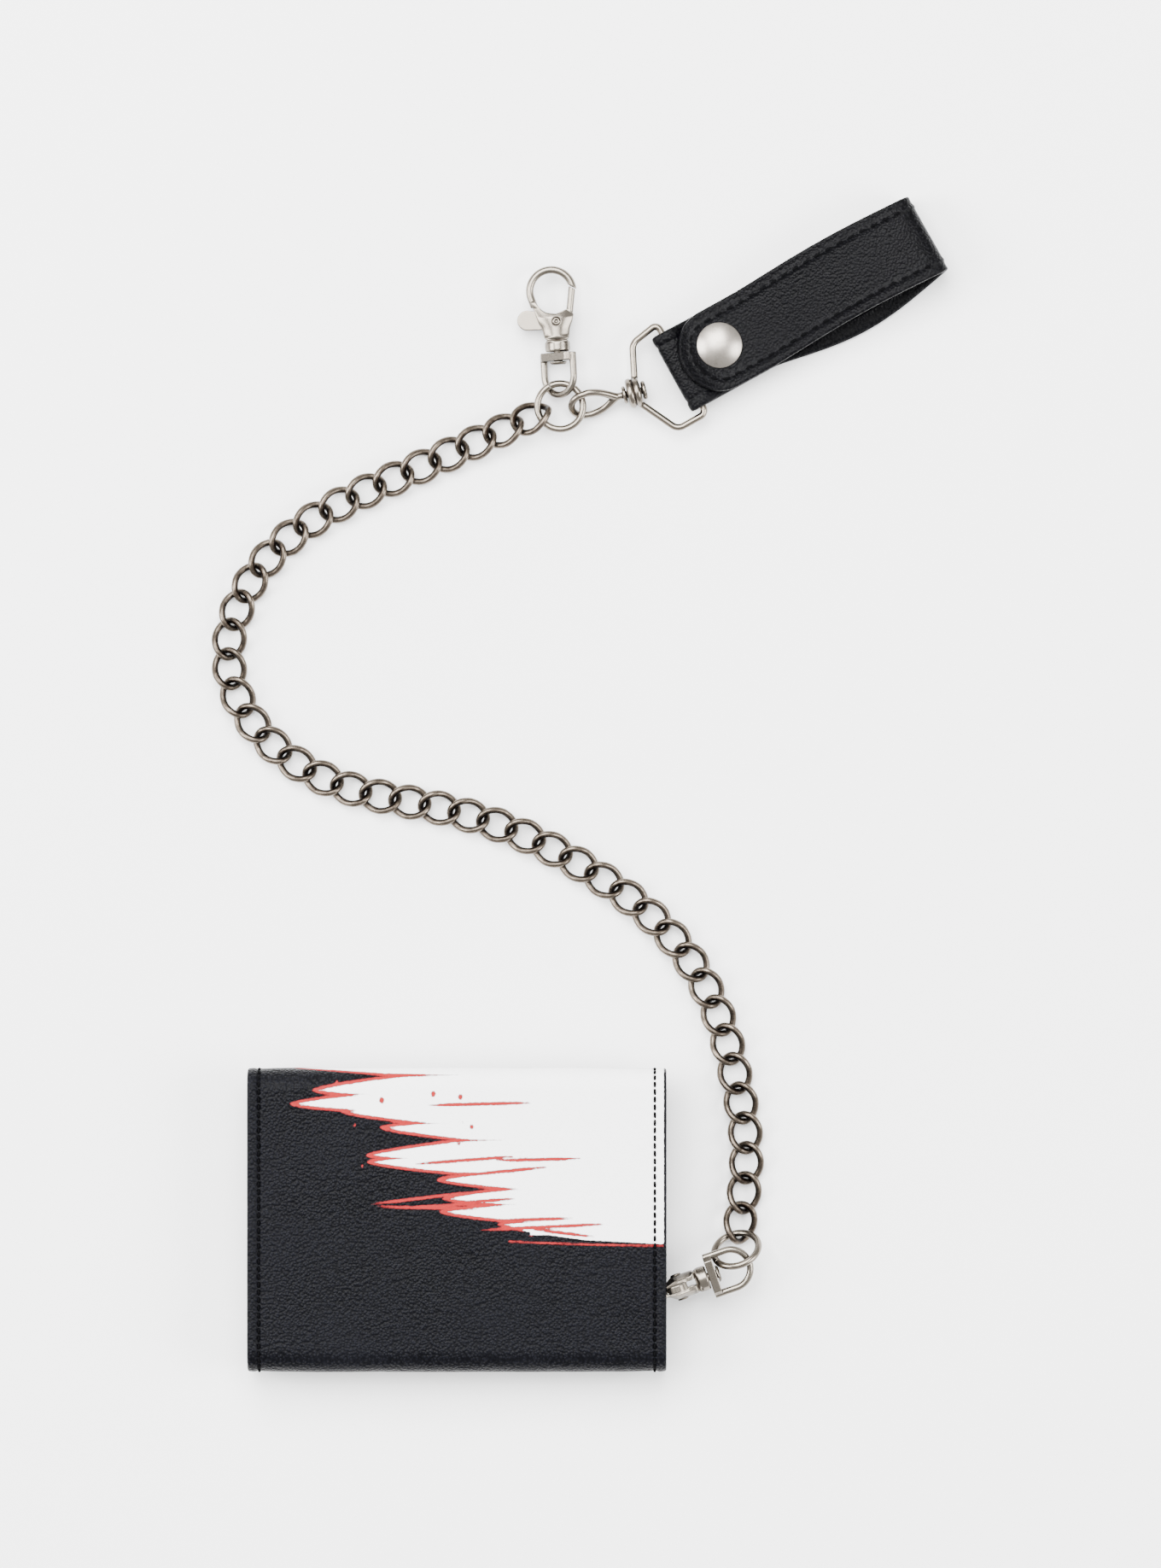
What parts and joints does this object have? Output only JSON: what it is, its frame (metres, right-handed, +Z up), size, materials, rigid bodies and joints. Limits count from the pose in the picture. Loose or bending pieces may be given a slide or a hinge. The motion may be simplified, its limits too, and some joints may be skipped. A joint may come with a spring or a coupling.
{
  "type": "chain wallet",
  "caption": "Trifold wallet with a curb chain, a trigger clasp at each end and a snap-closed belt strap on a wire loop; flaps, links, swivels, triggers and strap all move.",
  "frame": {"origin": "middle of the underside of the closed wallet's outer flap, the face it lies on", "axes": "+Z up out of the surface it lies on, +Y from the wallet towards the belt strap, +X along the wallet's width towards its chain eyelet"},
  "size_m": [0.2018, 0.3209, 0.0201],
  "materials": {
    "outer_leather": "fine pebbled grain, soft sheen",
    "strap_leather": "fine pebbled grain, soft sheen",
    "inner_leather": "smooth, satin",
    "lining_fabric": "woven, matte",
    "clear_window": "clear, glossy",
    "antique_nickel": "antiqued nickel plate, dark in the recesses",
    "antique_silver": "antiqued silver, lightly brushed",
    "snap_steel": "plated, satin",
    "spring_steel": "plain"
  },
  "bodies": {
    "wallet": {"centre_panel_shell": "outer_leather", "top_fold_spine": "outer_leather", "centre_panel_lining": "lining_fabric", "bill_divider": "lining_fabric", "centre_card_pockets": "inner_leather"},
    "bottom_spine": {"bottom_fold_spine": "outer_leather"},
    "outer_flap": {"outer_flap_shell": "outer_leather", "outer_flap_lining": "lining_fabric", "outer_flap_card_pockets": "inner_leather", "flap_snap_caps": "snap_steel", "flap_snap_sockets": "snap_steel"},
    "inner_flap": {"inner_flap_shell": "outer_leather", "inner_flap_lining": "lining_fabric", "id_window_frame": "inner_leather", "id_window": "clear_window", "flap_snap_studs": "snap_steel", "flap_snap_posts": "snap_steel", "chain_eyelet": "snap_steel", "eyelet_washer": "snap_steel"},
    "lower_hook": {"lower_clasp_hook": "antique_nickel", "lower_clasp_rivet": "antique_nickel", "lower_clasp_spring": "spring_steel", "lower_clasp_swivel_post": "antique_nickel"},
    "lower_trigger": {"lower_clasp_trigger": "antique_nickel"},
    "lower_bail": {"lower_clasp_bail": "antique_nickel"},
    "lower_ring": {"lower_ring": "antique_nickel"},
    "chain_19": {"chain_links_19": "antique_nickel"},
    "chain_18": {"chain_links_18": "antique_nickel"},
    "chain_17": {"chain_links_17": "antique_nickel"},
    "chain_16": {"chain_links_16": "antique_nickel"},
    "chain_15": {"chain_links_15": "antique_nickel"},
    "chain_14": {"chain_links_14": "antique_nickel"},
    "chain_13": {"chain_links_13": "antique_nickel"},
    "chain_12": {"chain_links_12": "antique_nickel"},
    "chain_11": {"chain_links_11": "antique_nickel"},
    "chain_10": {"chain_links_10": "antique_nickel"},
    "chain_09": {"chain_links_09": "antique_nickel"},
    "chain_08": {"chain_links_08": "antique_nickel"},
    "chain_07": {"chain_links_07": "antique_nickel"},
    "chain_06": {"chain_links_06": "antique_nickel"},
    "chain_05": {"chain_links_05": "antique_nickel"},
    "chain_04": {"chain_links_04": "antique_nickel"},
    "chain_03": {"chain_links_03": "antique_nickel"},
    "chain_02": {"chain_links_02": "antique_nickel"},
    "chain_01": {"chain_links_01": "antique_nickel"},
    "upper_ring": {"upper_ring": "antique_nickel"},
    "upper_bail": {"upper_clasp_bail": "antique_nickel"},
    "upper_hook": {"upper_clasp_hook": "antique_nickel", "upper_clasp_rivet": "antique_nickel", "upper_clasp_spring": "spring_steel", "upper_clasp_swivel_post": "antique_nickel"},
    "upper_trigger": {"upper_clasp_trigger": "antique_nickel"},
    "teardrop": {"teardrop_link": "antique_nickel"},
    "coil_loop": {"coil_loop": "antique_nickel"},
    "strap": {"belt_strap_back": "strap_leather", "belt_snap_stud": "snap_steel", "belt_snap_post": "snap_steel"},
    "strap_front": {"belt_strap_front": "strap_leather", "belt_snap_cap": "antique_silver", "belt_snap_socket": "snap_steel"}
  },
  "joints": [
    {"name": "bottom_fold_upper", "type": "hinge", "parent": "wallet", "child": "bottom_spine", "pos_m": [0, -0.04065, 0.019], "axis": [-1, 0, 0], "range_deg": [0, 90]},
    {"name": "bottom_fold_lower", "type": "hinge", "parent": "bottom_spine", "child": "outer_flap", "pos_m": [0, -0.04065, 0.0006], "axis": [-1, 0, 0], "range_deg": [0, 90]},
    {"name": "inner_flap_fold", "type": "hinge", "parent": "wallet", "child": "inner_flap", "pos_m": [0, 0.04065, 0.009], "axis": [1, 0, 0], "range_deg": [0, 1.2]},
    {"name": "eyelet_swing", "type": "hinge", "parent": "inner_flap", "child": "lower_hook", "pos_m": [0.0475, -0.023, 0.0096], "axis": [0, 0, 1], "range_deg": [-35, 5]},
    {"name": "lower_trigger_pivot", "type": "hinge", "parent": "lower_hook", "child": "lower_trigger", "pos_m": [0.06074, -0.01844, 0.00936], "axis": [-0.3256, 0.9455, 0], "range_deg": [0, 11], "stiffness_Nm_per_rad": 0.02, "springref_deg": -20.05},
    {"name": "lower_swivel", "type": "hinge", "parent": "lower_hook", "child": "lower_bail", "pos_m": [0.06849, -0.01577, 0.00922], "axis": [0.9454, 0.3255, -0.017], "continuous": true},
    {"name": "lower_ring_in_bail", "type": "hinge", "parent": "lower_bail", "child": "lower_ring", "pos_m": [0.07941, -0.01093, 0.00915], "axis": [-0.4952, 0.8588, 0.1314], "range_deg": [-8, 5]},
    {"name": "chain_in_lower_ring", "type": "hinge", "parent": "lower_ring", "child": "chain_19", "pos_m": [0.07674, -0.00408, 0.0028], "axis": [0.9635, 0.1393, 0.2285], "range_deg": [-10, 10]},
    {"name": "chain_bend_18", "type": "hinge", "parent": "chain_19", "child": "chain_18", "pos_m": [0.07898, 0.01106, 0.0022], "axis": [0, 0, 1], "range_deg": [-14, 10]},
    {"name": "chain_bend_17", "type": "hinge", "parent": "chain_18", "child": "chain_17", "pos_m": [0.07691, 0.03563, 0.0022], "axis": [0.9791, 0.2035, 0], "range_deg": [-14, 14]},
    {"name": "chain_bend_16", "type": "hinge", "parent": "chain_17", "child": "chain_16", "pos_m": [0.07291, 0.05164, 0.0022], "axis": [0, 0, -1], "range_deg": [-14, 14]},
    {"name": "chain_bend_15", "type": "hinge", "parent": "chain_16", "child": "chain_15", "pos_m": [0.06629, 0.06673, 0.0022], "axis": [-0.8607, -0.5091, 0], "range_deg": [-14, 14]},
    {"name": "chain_bend_14", "type": "hinge", "parent": "chain_15", "child": "chain_14", "pos_m": [0.05625, 0.07978, 0.0022], "axis": [0, 0, 1], "range_deg": [-14, 14]},
    {"name": "chain_bend_13", "type": "hinge", "parent": "chain_14", "child": "chain_13", "pos_m": [0.03666, 0.09485, 0.0022], "axis": [0.5328, 0.8462, 0], "range_deg": [-14, 14]},
    {"name": "chain_bend_12", "type": "hinge", "parent": "chain_13", "child": "chain_12", "pos_m": [0.02228, 0.10295, 0.0022], "axis": [0, 0, -1], "range_deg": [-14, 14]},
    {"name": "chain_bend_11", "type": "hinge", "parent": "chain_12", "child": "chain_11", "pos_m": [0.00699, 0.10912, 0.0022], "axis": [-0.3084, -0.9513, 0], "range_deg": [-14, 14]},
    {"name": "chain_bend_10", "type": "hinge", "parent": "chain_11", "child": "chain_10", "pos_m": [-0.009, 0.1132, 0.0022], "axis": [0, 0, 1], "range_deg": [-14, 14]},
    {"name": "chain_bend_09", "type": "hinge", "parent": "chain_10", "child": "chain_09", "pos_m": [-0.0331, 0.11875, 0.0022], "axis": [0.357, 0.9341, 0], "range_deg": [-14, 14]},
    {"name": "chain_bend_08", "type": "hinge", "parent": "chain_09", "child": "chain_08", "pos_m": [-0.04748, 0.12674, 0.0022], "axis": [0, 0, -1], "range_deg": [-14, 14]},
    {"name": "chain_bend_07", "type": "hinge", "parent": "chain_08", "child": "chain_07", "pos_m": [-0.05853, 0.13887, 0.0022], "axis": [-0.8627, -0.5057, 0], "range_deg": [-14, 14]},
    {"name": "chain_bend_06", "type": "hinge", "parent": "chain_07", "child": "chain_06", "pos_m": [-0.06306, 0.15453, 0.0022], "axis": [0, 0, 1], "range_deg": [-10.29, 14]},
    {"name": "chain_bend_05", "type": "hinge", "parent": "chain_06", "child": "chain_05", "pos_m": [-0.05471, 0.17747, 0.0022], "axis": [0.8114, -0.5845, 0], "range_deg": [-14, 14]},
    {"name": "chain_bend_04", "type": "hinge", "parent": "chain_05", "child": "chain_04", "pos_m": [-0.04299, 0.189, 0.0022], "axis": [0, 0, -1], "range_deg": [-14, 14]},
    {"name": "chain_bend_03", "type": "hinge", "parent": "chain_04", "child": "chain_03", "pos_m": [-0.02876, 0.19734, 0.0022], "axis": [-0.445, 0.8955, 0], "range_deg": [-14, 14]},
    {"name": "chain_bend_02", "type": "hinge", "parent": "chain_03", "child": "chain_02", "pos_m": [-0.01371, 0.20413, 0.0022], "axis": [0, 0, 1], "range_deg": [-14, 14]},
    {"name": "chain_bend_01", "type": "hinge", "parent": "chain_02", "child": "chain_01", "pos_m": [0.00892, 0.21418, 0.0028], "axis": [0.4061, -0.9138, 0], "range_deg": [-14, 14]},
    {"name": "chain_in_upper_ring", "type": "hinge", "parent": "chain_01", "child": "upper_ring", "pos_m": [0.02222, 0.22032, 0.00377], "axis": [0.3088, -0.9511, 0.0061], "range_deg": [-10, 10]},
    {"name": "upper_bail_in_ring", "type": "hinge", "parent": "upper_ring", "child": "upper_bail", "pos_m": [0.02466, 0.22743, 0.00404], "axis": [-0.827, -0.5584, -0.0652], "range_deg": [-5, 8]},
    {"name": "upper_swivel", "type": "hinge", "parent": "upper_bail", "child": "upper_hook", "pos_m": [0.0275, 0.2372, 0.00435], "axis": [-0.0541, 0.9985, 0], "continuous": true},
    {"name": "upper_trigger_pivot", "type": "hinge", "parent": "upper_hook", "child": "upper_trigger", "pos_m": [0.02706, 0.24539, 0.00435], "axis": [0, 0, 1], "range_deg": [0, 25], "stiffness_Nm_per_rad": 0.02, "springref_deg": -20.05},
    {"name": "teardrop_in_ring", "type": "hinge", "parent": "upper_ring", "child": "teardrop", "pos_m": [0.03379, 0.21958, 0.00454], "axis": [0.4257, 0.9038, 0.0432], "range_deg": [-8, 8]},
    {"name": "coil_swivel", "type": "hinge", "parent": "teardrop", "child": "coil_loop", "pos_m": [0.04836, 0.22601, 0.0044], "axis": [0.9703, 0.2419, 0], "continuous": true},
    {"name": "strap_in_loop", "type": "hinge", "parent": "coil_loop", "child": "strap", "pos_m": [0.06154, 0.23228, 0.0044], "axis": [-0.4848, 0.8746, 0], "range_deg": [-50, 50]},
    {"name": "strap_opens", "type": "hinge", "parent": "strap", "child": "strap_front", "pos_m": [0.12316, 0.26643, 0.001], "axis": [-0.4848, 0.8746, 0], "range_deg": [0, 105]}
  ],
  "couplings": [
    {"joint": "bottom_fold_lower", "follows": "bottom_fold_upper", "ratio": 1}
  ]
}
